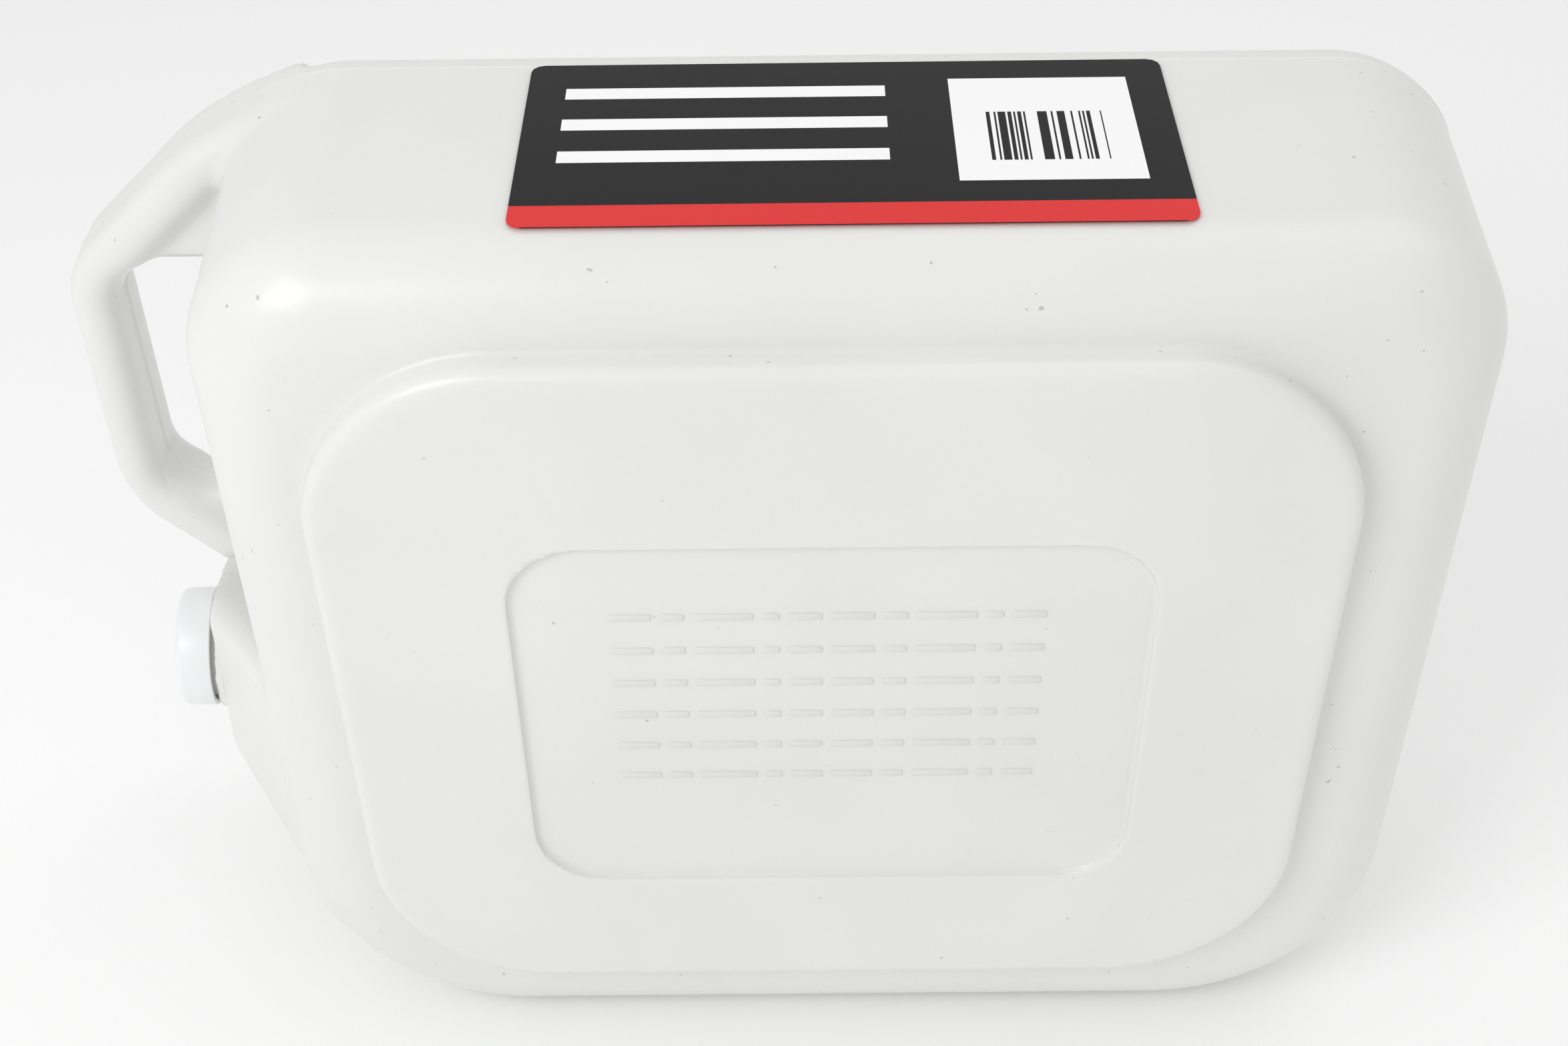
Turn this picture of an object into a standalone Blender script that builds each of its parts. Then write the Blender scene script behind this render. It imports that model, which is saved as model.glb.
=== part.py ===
"""Oil drain pan: a blow-moulded oil drain container, closed by a spout cap and a drain plug.

It stands on one long narrow side. +Z is up, -Y looks at the base with its raised pad, and +Y at
the open basin. The carrying handle and the pour spout are at -X. The origin is the middle of
the bounding box's underside. Sizes below are millimetres unless a name says otherwise.
"""

import math

import bmesh
import bpy
from mathutils import Matrix, Vector

MM = 0.001

# The mould's own origin is the middle of the base pad's outer face. This takes it to the part's.
MOULD_TO_PART = Vector((23.97, -73.4, 175.0))

WALL = 1.8
GAP = 0.3

# Base pad (the plateau the container rests on when it is used) and its shallow panel.
PAD_CENTRE = (0.0, 0.0)
PAD_HALF = (155.2, 133.4)
PAD_CORNER = 60.0
PAD_HEIGHT = 10.0
PAD_EDGE = 4.5
PAD_FOOT = 2.6
PANEL_CENTRE = (0.0, -5.4)
PANEL_HALF = (98.3, 74.4)
PANEL_CORNER = 24.0
PANEL_DEPTH = 2.2
PANEL_EDGE = 1.0

# Body: a rounded slab, a little wider at the parting plane than at the base.
BODY_CENTRE = (4.3, -7.25)
BODY_HALF_FRONT = (190.3, 167.75)
BODY_HALF_PARTING = (196.8, 167.75)
BODY_CORNER_TOP = 44.0
BODY_CORNER_BOTTOM = 77.0
# The corners gain a little at the parting plane, and lose a share of any step inwards before it.
CORNER_GAIN = 2.0
CORNER_EASE = 0.4
FRONT_FILLET = 24.0
FRONT_STEP = 0.3
PARTING_Y = 124.0
RIM_Y = 146.8
# The rim's outer round starts behind the parting plane, so it stays below RIM_Y - PARTING_Y.
RIM_OUTER_ROUND = 22.5
RIM_FLAT = 3.0
RIM_INNER_ROUND = 8.0

# The reservoir's side of the wall: how much tighter its corners are, and its rings behind the pad as
# (depth behind the panel's wall, inset past the wall, corner cut). The last one is measured back
# from the body's front instead.
CAVITY_CORNER_CUT = 2.0
CAVITY_PAD_RINGS = ((0.0, 5.2, 7.0), (2.5, 0.8, 2.6))
CAVITY_FOOT_RING = (0.4, 0.2, 2.0)

# Basin, the pan that catches the oil.
BASIN_FLOOR_Y = 62.0
BASIN_DRAFT = math.tan(math.radians(8.0))
BASIN_FILLET = 14.0
BASIN_CORNER_TOP = 32.0
BASIN_CORNER_BOTTOM = 52.0
BASIN_SLOPE = 3.0

# Drain well, boss and bore in the basin floor.
WELL_RADIUS = 31.0
WELL_DEPTH = 7.0
WELL_EDGE = 2.5
WELL_TAPER = 1.5
BOSS_RADIUS = 22.0
BOSS_LENGTH = 15.0
DRAIN_BORE = 18.4
BOSS_OVERLAP = 0.6
CUT_MARGIN = 4.0

# Handle: a hollow C-shaped grip in the parting plane.
HANDLE_HALF_DEPTH = 17.0
HANDLE_SQUARENESS = 2.6

# Spout: collar, threaded neck and screw cap.
SPOUT_ROOT = Vector((-231.4, 123.5, -86.5))
SPOUT_TOWARDS_BASE = 4.4
SPOUT_UPWARDS = 3.8
# The spout's wedge outside the body: x, centre (y, z), half size (y, z), corner radius.
SPOUT_SECTIONS = (
    (-176.0, (85.0, -84.5), (60.0, 42.0), 16.0),
    (-190.0, (93.0, -84.5), (52.0, 41.0), 16.0),
    (-218.0, (117.0, -86.5), (28.6, 36.5), 15.0),
    (-224.5, (122.0, -86.5), (23.6, 31.0), 20.0),
)
SPOUT_LEAST_CORNER = 4.0
COLLAR_RADIUS = 23.2
NECK_RADIUS = 19.0
NECK_BORE = 16.8
NECK_LENGTH = 11.2
NECK_ROOT = -4.0
NECK_CHAMFER = 0.5
NECK_BORE_ROOT = -8.0
CAP_RADIUS = 22.75
CAP_HEIGHT = 13.0
CAP_STANDOFF = 1.8
CAP_SKIRT = 1.9
CAP_TOP = 1.7
CAP_ROUND = 3.0
CAP_DRAFT = 0.3
CAP_CHAMFER = 0.4
LINER_RADIUS = 20.2
LINER_THICKNESS = 1.2

THREAD_PITCH = 4.233
THREAD_HEIGHT = 1.2
THREAD_BASE = 1.5
THREAD_CREST = 0.7
THREAD_TURNS = 1.3
THREAD_SINK = 0.4
THREAD_FADE_DEPTH = 0.3
THREAD_STEPS = 24
# The share of a thread's length taken by each run-out.
THREAD_RUNOUT = 0.25
# Each pair of threads starts half a pitch apart, so that the ridges mesh.
NECK_THREAD_START = 3.6
DRAIN_THREAD_START = -9.0

# Drain plug.
PLUG_STEM_RADIUS = 16.9
PLUG_STEM_LENGTH = 13.0
PLUG_FLANGE_RADIUS = 25.5
PLUG_FLANGE = 3.0
PLUG_GRIP_HEIGHT = 9.0
PLUG_GRIP_LENGTH = 38.0
PLUG_GRIP_WIDTH = 7.0
PLUG_GRIP_ROUND = 1.6
PLUG_WALL = 2.4
PLUG_CHAMFER = 1.0
GASKET_INNER = 19.4
GASKET_OUTER = 24.5
GASKET_THICKNESS = 2.0

# Paper label on the upper narrow side.
LABEL_HALF = (96.5, 45.5)
LABEL_CENTRE = (6.0, 77.0)
LABEL_THICKNESS = 0.3
LABEL_CORNER = 4.0

ARC_STEPS = 6
SIDE_STEPS = 4
ROUND_STEPS = 40
SECTION_STEPS = 14
LEAST_STRAIGHT = 1.0
SHARP_ANGLE = 40.0

COLOURS = {
    "polyethylene": ((0.72, 0.72, 0.69), 0.42),
    "cap_white": ((0.88, 0.89, 0.90), 0.38),
    "foam": ((0.80, 0.80, 0.78), 0.85),
    "rubber": ((0.02, 0.02, 0.02), 0.7),
    "label": ((0.06, 0.06, 0.065), 0.35),
}


def clear_scene():
    for thing in list(bpy.data.objects):
        bpy.data.objects.remove(thing, do_unlink=True)


def material(name):
    found = bpy.data.materials.get(name)
    if found:
        return found
    colour, roughness = COLOURS[name]
    made = bpy.data.materials.new(name)
    made.use_nodes = True
    shader = made.node_tree.nodes["Principled BSDF"]
    shader.inputs["Base Color"].default_value = (*colour, 1.0)
    shader.inputs["Roughness"].default_value = roughness
    shader.inputs["Metallic"].default_value = 0.0
    return made


def to_part(point):
    """Millimetres in the mould's frame to metres in the part's."""
    return (Vector(point) + MOULD_TO_PART) * MM


def quarter_turn(count):
    """Angles from nought to a right angle, in count equal steps."""
    return [math.radians(90.0 * step / count) for step in range(count + 1)]


def rounded_points(half, radius, steps=ARC_STEPS, side_steps=SIDE_STEPS):
    """A rounded rectangle about (0, 0), as (u, v) pairs, anticlockwise from the right.

    radius is one number, or a pair for the upper and the lower corners.
    """
    upper, lower = radius if isinstance(radius, tuple) else (radius, radius)
    arcs = []
    for corner in range(4):
        side_u = 1 if corner in (0, 3) else -1
        side_v = 1 if corner in (0, 1) else -1
        wanted = upper if side_v > 0 else lower
        turn = min(wanted, half[0] - LEAST_STRAIGHT, half[1] - LEAST_STRAIGHT)
        middle = Vector((side_u * (half[0] - turn), side_v * (half[1] - turn)))
        angles = [math.radians(90.0 * (corner + step / steps)) for step in range(steps + 1)]
        arcs.append([middle + turn * Vector((math.cos(a), math.sin(a))) for a in angles])
    points = []
    for corner, arc in enumerate(arcs):
        following = arcs[(corner + 1) % 4][0]
        points += arc
        points += [arc[-1].lerp(following, step / side_steps) for step in range(1, side_steps)]
    return [tuple(point) for point in points]


def circle_points(radius, like):
    """A circle about (0, 0) whose points lie in the same directions as those of another loop."""
    directions = [math.atan2(v, u) for u, v in like]
    return [(radius * math.cos(angle), radius * math.sin(angle)) for angle in directions]


def flat_loop(y, centre, half, radius):
    """A rounded rectangle standing at depth y."""
    return [(centre[0] + u, y, centre[1] + v) for u, v in rounded_points(half, radius)]


def round_loop(y, centre, radius, like):
    """A circle standing at depth y, matched to a loop of (x, y, z) points."""
    spread = [(x - centre[0], z - centre[1]) for x, _, z in like]
    return [(centre[0] + u, y, centre[1] + v) for u, v in circle_points(radius, spread)]


def bridge(mesh, first, second):
    count = len(first)
    for i in range(count):
        j = (i + 1) % count
        mesh.faces.new((first[i], first[j], second[j], second[i]))


def mesh_object(name, mesh, mat):
    bmesh.ops.recalc_face_normals(mesh, faces=mesh.faces)
    data = bpy.data.meshes.new(name)
    mesh.to_mesh(data)
    mesh.free()
    data.materials.append(material(mat))
    data.shade_smooth()
    data.set_sharp_from_angle(angle=math.radians(SHARP_ANGLE))
    made = bpy.data.objects.new(name, data)
    bpy.context.collection.objects.link(made)
    return made


def loft(name, loops, mat="polyethylene"):
    """A closed solid through loops with equal point counts, in the mould's frame."""
    mesh = bmesh.new()
    rings = [[mesh.verts.new(to_part(p)) for p in loop] for loop in loops]
    for first, second in zip(rings, rings[1:]):
        bridge(mesh, first, second)
    mesh.faces.new(rings[0])
    mesh.faces.new(rings[-1])
    return mesh_object(name, mesh, mat)


def turned(name, profile, mat, placing, steps=ROUND_STEPS):
    """A ring or disc turned about local Z from a closed profile of (radius, height) points."""
    mesh = bmesh.new()
    columns = []
    for step in range(steps):
        angle = math.tau * step / steps
        columns.append([
            mesh.verts.new((r * math.cos(angle) * MM, r * math.sin(angle) * MM, h * MM))
            for r, h in profile
        ])
    for step in range(steps):
        bridge(mesh, columns[step], columns[(step + 1) % steps])
    bmesh.ops.remove_doubles(mesh, verts=mesh.verts, dist=1e-7)
    loose = [edge for edge in mesh.edges if not edge.link_faces]
    bmesh.ops.delete(mesh, geom=loose, context="EDGES")
    made = mesh_object(name, mesh, mat)
    made.matrix_world = placing
    return made


def thread(name, radius, start, mat, placing, outwards=True):
    """A helical ridge, sunk a little into the wall that carries it, with tapered run-outs."""
    mesh = bmesh.new()
    total = int(THREAD_TURNS * THREAD_STEPS)
    sign = 1.0 if outwards else -1.0
    rings = []
    for i in range(total + 1):
        angle = math.tau * i / THREAD_STEPS
        fade = min(1.0, i / (THREAD_RUNOUT * total), (total - i) / (THREAD_RUNOUT * total))
        crest = radius + sign * (THREAD_HEIGHT * fade - THREAD_FADE_DEPTH * (1.0 - fade))
        root = radius - sign * THREAD_SINK
        middle = start + THREAD_PITCH * angle / math.tau
        section = (
            (root, middle - THREAD_BASE / 2), (crest, middle - THREAD_CREST / 2),
            (crest, middle + THREAD_CREST / 2), (root, middle + THREAD_BASE / 2),
        )
        rings.append([
            mesh.verts.new((r * math.cos(angle) * MM, r * math.sin(angle) * MM, h * MM))
            for r, h in section
        ])
    for first, second in zip(rings, rings[1:]):
        bridge(mesh, first, second)
    mesh.faces.new(rings[0])
    mesh.faces.new(rings[-1])
    made = mesh_object(name, mesh, mat)
    made.matrix_world = placing
    return made


def combine(target, other, operation):
    """Unites or cuts with a helper, applies the result in triangles and removes the helper."""
    modifier = target.modifiers.new("combine", "BOOLEAN")
    modifier.operation = operation
    modifier.solver = "EXACT"
    modifier.object = other
    graph = bpy.context.evaluated_depsgraph_get()
    graph.update()
    result = bpy.data.meshes.new_from_object(target.evaluated_get(graph))
    target.modifiers.clear()
    old = target.data
    target.data = result
    bpy.data.meshes.remove(old)
    result.name = target.name
    mesh = bmesh.new()
    mesh.from_mesh(result)
    bmesh.ops.triangulate(mesh, faces=mesh.faces)
    bmesh.ops.dissolve_degenerate(mesh, edges=mesh.edges, dist=1e-6)
    mesh.to_mesh(result)
    mesh.free()
    bpy.data.objects.remove(other, do_unlink=True)
    return target


def body_corners(change):
    """The body's upper and lower corner radii, both changed by the same amount."""
    return (BODY_CORNER_TOP + change, BODY_CORNER_BOTTOM + change)


def basin_corners(change):
    """The basin's upper and lower corner radii. The lower one follows the body's, so the rim stays even."""
    return (BASIN_CORNER_TOP + change, BASIN_CORNER_BOTTOM + change)


def inset(half, amount):
    return (half[0] - amount, half[1] - amount)


def outer_loops():
    """Rings over the outer skin, from the base panel, round the rim and down into the basin."""
    loops = [
        flat_loop(PANEL_DEPTH, PANEL_CENTRE, inset(PANEL_HALF, PANEL_EDGE), PANEL_CORNER - PANEL_EDGE),
        flat_loop(PANEL_EDGE / 2, PANEL_CENTRE, PANEL_HALF, PANEL_CORNER),
        flat_loop(0.0, PANEL_CENTRE, inset(PANEL_HALF, -PANEL_EDGE), PANEL_CORNER + PANEL_EDGE),
    ]
    for angle in quarter_turn(2):
        pull = PAD_EDGE * (1 - math.sin(angle))
        y = PAD_EDGE * (1 - math.cos(angle))
        loops.append(flat_loop(y, PAD_CENTRE, inset(PAD_HALF, pull), PAD_CORNER - pull))
    loops.append(flat_loop(PAD_HEIGHT, PAD_CENTRE, inset(PAD_HALF, -PAD_FOOT), PAD_CORNER + PAD_FOOT))
    for angle in quarter_turn(4):
        pull = FRONT_FILLET * (1 - math.sin(angle))
        y = PAD_HEIGHT + FRONT_STEP + FRONT_FILLET * (1 - math.cos(angle))
        corners = body_corners(-CORNER_EASE * pull)
        loops.append(flat_loop(y, BODY_CENTRE, inset(BODY_HALF_FRONT, pull), corners))
    loops.append(flat_loop(PARTING_Y, BODY_CENTRE, BODY_HALF_PARTING, body_corners(CORNER_GAIN)))
    loops += rim_loops(0.0)
    loops += basin_loops(0.0)
    return loops


def rim_loops(offset):
    """The rounded rim. offset moves the skin inwards, for the reservoir's side of the wall."""
    loops = []
    outer = RIM_OUTER_ROUND - offset
    for angle in quarter_turn(4):
        pull = RIM_OUTER_ROUND - outer * math.cos(angle)
        y = RIM_Y - RIM_OUTER_ROUND + outer * math.sin(angle)
        corners = body_corners(CORNER_GAIN - pull)
        loops.append(flat_loop(y, BODY_CENTRE, inset(BODY_HALF_PARTING, pull), corners))
    inner = RIM_INNER_ROUND - offset
    for angle in quarter_turn(3):
        pull = RIM_OUTER_ROUND + RIM_FLAT + inner * math.sin(angle)
        y = RIM_Y - RIM_INNER_ROUND + inner * math.cos(angle)
        loops.append(flat_loop(y, BODY_CENTRE, inset(BODY_HALF_PARTING, pull), basin_corners(offset)))
    return loops


def basin_loops(offset):
    """The basin's wall, floor fillet and floor, down to the drain well."""
    wall_pull = RIM_OUTER_ROUND + RIM_FLAT + RIM_INNER_ROUND
    drop = RIM_Y - RIM_INNER_ROUND - BASIN_FLOOR_Y - BASIN_FILLET
    fillet_pull = wall_pull + drop * BASIN_DRAFT
    loops = []
    for angle in quarter_turn(3):
        radius = BASIN_FILLET + offset
        pull = fillet_pull + BASIN_FILLET - radius * math.cos(angle)
        y = BASIN_FLOOR_Y + BASIN_FILLET - radius * math.sin(angle)
        loops.append(flat_loop(y, BODY_CENTRE, inset(BODY_HALF_PARTING, pull), basin_corners(offset)))
    well_y = BASIN_FLOOR_Y - BASIN_SLOPE - offset
    last = loops[-1]
    loops.append(round_loop(well_y, BODY_CENTRE, WELL_RADIUS + WELL_EDGE + offset, last))
    loops.append(round_loop(well_y - WELL_EDGE, BODY_CENTRE, WELL_RADIUS + offset, last))
    loops.append(round_loop(well_y - WELL_DEPTH, BODY_CENTRE, WELL_RADIUS - WELL_TAPER + offset, last))
    return loops


def cavity_loops():
    """Rings over the reservoir's inside, one wall in from the outer skin."""
    front = PAD_HEIGHT + FRONT_STEP + WALL
    rings = [(PANEL_DEPTH + WALL + depth, pull, cut) for depth, pull, cut in CAVITY_PAD_RINGS]
    drop, pull, cut = CAVITY_FOOT_RING
    rings.append((front - drop, pull, cut))
    loops = [
        flat_loop(y, PAD_CENTRE, inset(PAD_HALF, WALL + pull), PAD_CORNER - cut)
        for y, pull, cut in rings
    ]
    radius = FRONT_FILLET - WALL
    for angle in quarter_turn(4):
        pull = WALL + radius * (1 - math.sin(angle))
        y = front + radius * (1 - math.cos(angle))
        corners = body_corners(-CAVITY_CORNER_CUT - CORNER_EASE * pull)
        loops.append(flat_loop(y, BODY_CENTRE, inset(BODY_HALF_FRONT, pull), corners))
    corners = body_corners(CORNER_GAIN - CAVITY_CORNER_CUT)
    loops.append(flat_loop(PARTING_Y, BODY_CENTRE, inset(BODY_HALF_PARTING, WALL), corners))
    loops += rim_loops(WALL)
    loops += basin_loops(WALL)
    return loops


# Handle stations, from the root under the top side, round the grip, to the root above the spout:
# (x, z) on the hand hole's edge, then (x, z) on the outer edge.
HANDLE_STATIONS = (
    ((-176.0, 95.5), (-158.0, 156.0)), ((-196.0, 95.5), (-183.0, 152.0)),
    ((-208.0, 95.8), (-199.0, 137.5)), ((-217.0, 95.5), (-218.0, 120.0)),
    ((-225.0, 93.0), (-235.0, 103.6)), ((-230.6, 87.0), (-245.6, 91.0)),
    ((-232.6, 77.0), (-249.2, 75.0)), ((-232.6, 45.0), (-249.2, 45.0)),
    ((-232.6, 14.0), (-249.2, 12.0)), ((-230.2, 4.5), (-246.2, -1.5)),
    ((-222.0, -1.2), (-237.5, -12.5)), ((-210.0, -2.5), (-226.5, -21.0)),
    ((-198.0, -2.5), (-216.0, -35.0)), ((-178.0, -2.5), (-182.0, -52.0)),
)


def handle_loops(offset):
    """Cross-sections of the handle: superellipses between the hole's edge and the outer edge."""
    power = 2.0 / HANDLE_SQUARENESS
    loops = []
    for inner, outer in HANDLE_STATIONS:
        middle = Vector(((inner[0] + outer[0]) / 2, 0.0, (inner[1] + outer[1]) / 2))
        across = Vector(((outer[0] - inner[0]) / 2, 0.0, (outer[1] - inner[1]) / 2))
        across *= (across.length - offset) / across.length
        deep = HANDLE_HALF_DEPTH - offset
        loop = []
        for step in range(SECTION_STEPS):
            angle = math.tau * (step + 0.5) / SECTION_STEPS
            c, s = math.cos(angle), math.sin(angle)
            wide = math.copysign(abs(c) ** power, c)
            tall = math.copysign(abs(s) ** power, s)
            loop.append(middle + across * wide + Vector((0.0, PARTING_Y + deep * tall, 0.0)))
        loops.append(loop)
    return loops


def spout_frame():
    """Local +Z points out of the spout, and its origin is the middle of the collar's face."""
    towards_base = math.radians(SPOUT_TOWARDS_BASE)
    upwards = math.radians(SPOUT_UPWARDS)
    out = Vector((-1.0, -math.tan(towards_base), math.tan(upwards))).normalized()
    turn = Vector((0, 0, 1)).rotation_difference(out).to_matrix().to_4x4()
    return Matrix.Translation(to_part(SPOUT_ROOT)) @ turn


def drain_frame():
    """Local +Z points out of the basin, and its origin is on the well's floor."""
    floor_y = BASIN_FLOOR_Y - BASIN_SLOPE - WELL_DEPTH
    turn = Matrix.Rotation(math.radians(-90.0), 4, "X")
    return Matrix.Translation(to_part((BODY_CENTRE[0], floor_y, BODY_CENTRE[1]))) @ turn


def spout_loops(offset, reach):
    """The spout's wedge, from inside the body's side wall to the round collar."""
    loops = []
    for x, centre, half, corner in SPOUT_SECTIONS:
        points = rounded_points(inset(half, offset), max(corner - offset, SPOUT_LEAST_CORNER))
        loops.append([(x, centre[0] + u, centre[1] + v) for u, v in points])
    out = spout_frame().to_3x3() @ Vector((0, 0, 1))
    centre = SPOUT_ROOT + out * reach
    radius = COLLAR_RADIUS - offset
    side = Vector((0, 0, 1)).cross(out).normalized()
    up = out.cross(side)
    points = circle_points(radius, rounded_points((radius, radius), radius / 2))
    loops.append([tuple(centre - side * u + up * v) for u, v in points])
    return loops


def build_container(spout, drain):
    """The blow-moulded shell with its handle, spout neck, basin and drain boss, in one piece."""
    shell = loft("container", outer_loops())
    combine(shell, loft("handle_outside", handle_loops(0.0)), "UNION")
    combine(shell, loft("spout_outside", spout_loops(0.0, 0.0)), "UNION")
    neck = ((0.0, NECK_ROOT), (NECK_RADIUS, NECK_ROOT), (NECK_RADIUS, NECK_LENGTH - NECK_CHAMFER),
            (NECK_RADIUS - NECK_CHAMFER, NECK_LENGTH), (0.0, NECK_LENGTH))
    combine(shell, turned("neck_outside", neck, "polyethylene", spout), "UNION")

    cavity = loft("cavity", cavity_loops())
    combine(cavity, loft("handle_inside", handle_loops(WALL)), "UNION")
    combine(cavity, loft("spout_inside", spout_loops(WALL, -WALL)), "UNION")
    combine(shell, cavity, "DIFFERENCE")

    bore_end = NECK_LENGTH + CUT_MARGIN
    bore = ((0.0, NECK_BORE_ROOT), (NECK_BORE, NECK_BORE_ROOT), (NECK_BORE, bore_end), (0.0, bore_end))
    combine(shell, turned("neck_bore", bore, "polyethylene", spout), "DIFFERENCE")

    boss = ((0.0, -BOSS_LENGTH), (BOSS_RADIUS, -BOSS_LENGTH), (BOSS_RADIUS, -BOSS_OVERLAP),
            (0.0, -BOSS_OVERLAP))
    combine(shell, turned("drain_boss", boss, "polyethylene", drain), "UNION")
    low, high = -BOSS_LENGTH - CUT_MARGIN, CUT_MARGIN
    hole = ((0.0, low), (DRAIN_BORE, low), (DRAIN_BORE, high), (0.0, high))
    combine(shell, turned("drain_hole", hole, "polyethylene", drain), "DIFFERENCE")
    ridge = thread("drain_thread", DRAIN_BORE, DRAIN_THREAD_START, "polyethylene", drain, outwards=False)
    combine(shell, ridge, "UNION")
    ridge = thread("neck_thread", NECK_RADIUS, NECK_THREAD_START, "polyethylene", spout)
    combine(shell, ridge, "UNION")
    return shell


def build_spout_cap(spout):
    """The white screw cap, its thread on the inside of the skirt."""
    base = CAP_STANDOFF
    top = base + CAP_HEIGHT
    inner = CAP_RADIUS - CAP_SKIRT
    profile = [(inner, base), (CAP_RADIUS - CAP_CHAMFER, base), (CAP_RADIUS, base + CAP_CHAMFER)]
    for angle in quarter_turn(3):
        profile.append((CAP_RADIUS - CAP_DRAFT - CAP_ROUND * (1 - math.cos(angle)),
                        top - CAP_ROUND * (1 - math.sin(angle))))
    profile += [(0.0, top), (0.0, top - CAP_TOP), (inner, top - CAP_TOP)]
    cap = turned("spout_cap", profile, "cap_white", spout)
    ridge = thread("cap_thread", inner, NECK_THREAD_START + THREAD_PITCH / 2,
                   "cap_white", spout, outwards=False)
    return combine(cap, ridge, "UNION")


def build_spout_liner(spout):
    """The foam sealing disc in the cap's top."""
    low = NECK_LENGTH + GAP
    profile = ((0.0, low), (LINER_RADIUS, low), (LINER_RADIUS, low + LINER_THICKNESS),
               (0.0, low + LINER_THICKNESS))
    return turned("spout_cap_liner", profile, "foam", spout)


def build_drain_plug(drain):
    """The screw plug that closes the basin: flange, hollow threaded stem and a grip bar."""
    low = GASKET_THICKNESS + 2 * GAP
    top = low + PLUG_FLANGE
    stem_end = low - PLUG_STEM_LENGTH
    bore = PLUG_STEM_RADIUS - PLUG_WALL
    profile = (
        (0.0, low), (bore, low), (bore, stem_end),
        (PLUG_STEM_RADIUS, stem_end), (PLUG_STEM_RADIUS, low),
        (PLUG_FLANGE_RADIUS, low), (PLUG_FLANGE_RADIUS, top - PLUG_CHAMFER),
        (PLUG_FLANGE_RADIUS - PLUG_CHAMFER, top), (0.0, top),
    )
    plug = turned("drain_plug", profile, "cap_white", drain)
    mesh = bmesh.new()
    bmesh.ops.create_cube(mesh, size=1.0)
    height = PLUG_GRIP_HEIGHT + PLUG_CHAMFER
    size = Vector((PLUG_GRIP_LENGTH, PLUG_GRIP_WIDTH, height)) * MM
    middle = Vector((0.0, 0.0, top - PLUG_CHAMFER + height / 2)) * MM
    bmesh.ops.scale(mesh, verts=mesh.verts, vec=size)
    bmesh.ops.translate(mesh, verts=mesh.verts, vec=middle)
    bmesh.ops.bevel(mesh, geom=mesh.edges,
                    offset=PLUG_GRIP_ROUND * MM, segments=2, affect="EDGES", profile=0.5)
    bar = mesh_object("grip_bar", mesh, "cap_white")
    bar.matrix_world = drain
    combine(plug, bar, "UNION")
    ridge = thread("plug_thread", PLUG_STEM_RADIUS, DRAIN_THREAD_START + THREAD_PITCH / 2,
                   "cap_white", drain)
    return combine(plug, ridge, "UNION")


def build_drain_gasket(drain):
    profile = ((GASKET_INNER, GAP), (GASKET_OUTER, GAP), (GASKET_OUTER, GAP + GASKET_THICKNESS),
               (GASKET_INNER, GAP + GASKET_THICKNESS))
    return turned("drain_gasket", profile, "rubber", drain)


def build_label():
    """A thin paper label, clear of the top side by the thickness of its adhesive."""
    top_side = BODY_CENTRE[1] + BODY_HALF_FRONT[1]
    low, high = top_side + GAP, top_side + GAP + LABEL_THICKNESS
    loops = []
    for z in (low, high):
        points = rounded_points(LABEL_HALF, LABEL_CORNER, steps=3, side_steps=1)
        loops.append([(LABEL_CENTRE[0] + u, LABEL_CENTRE[1] + v, z) for u, v in points])
    return loft("label", loops, "label")


def main():
    clear_scene()
    spout = spout_frame()
    drain = drain_frame()
    build_container(spout, drain)
    build_spout_liner(spout)
    build_spout_cap(spout)
    build_drain_gasket(drain)
    build_drain_plug(drain)
    build_label()


main()
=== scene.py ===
"""Looks for the oil drain pan: the blow-moulded container's finished surface, its cap, plug and label."""

import math

import bmesh
import bpy
import numpy as np
from mathutils import Matrix, Vector


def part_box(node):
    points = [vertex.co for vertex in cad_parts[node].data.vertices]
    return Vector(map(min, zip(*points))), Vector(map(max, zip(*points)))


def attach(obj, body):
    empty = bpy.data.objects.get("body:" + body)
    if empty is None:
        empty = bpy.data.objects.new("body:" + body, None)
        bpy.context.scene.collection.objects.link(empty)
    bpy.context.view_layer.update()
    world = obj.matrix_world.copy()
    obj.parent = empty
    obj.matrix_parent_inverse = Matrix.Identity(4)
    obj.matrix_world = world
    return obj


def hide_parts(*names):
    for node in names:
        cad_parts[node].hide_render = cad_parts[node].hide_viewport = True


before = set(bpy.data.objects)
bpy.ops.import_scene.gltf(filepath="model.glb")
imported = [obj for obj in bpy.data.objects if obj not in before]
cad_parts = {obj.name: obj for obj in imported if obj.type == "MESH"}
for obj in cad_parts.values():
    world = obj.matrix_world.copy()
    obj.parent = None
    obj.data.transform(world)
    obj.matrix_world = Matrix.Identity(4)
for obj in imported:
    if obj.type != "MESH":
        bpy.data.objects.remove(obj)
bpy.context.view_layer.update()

MM = 0.001
MOULD_TO_PART = np.array((23.97, -73.4, 175.0))

# Container, in millimetres in the mould's frame: X along, Y away from the base, Z up.
BODY_CENTRE = (4.3, -7.25)
# Its half sizes are one seam height short, so the seam ends at the full size.
BODY_HALF_FRONT = 190.0
BODY_HALF_PARTING = 196.5
BODY_HALF_HEIGHT = 167.45
BODY_CORNER_TOP = 44.0
BODY_CORNER_BOTTOM = 77.0
BODY_FRONT_Y = 10.3
PARTING_Y = 124.0
RIM_Y = 146.8
FRONT_FILLET = 26.0
RIM_OUTER_ROUND = 24.0
RIM_INNER_ROUND = 8.0
RIM_INNER_PULL = 33.2

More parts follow.
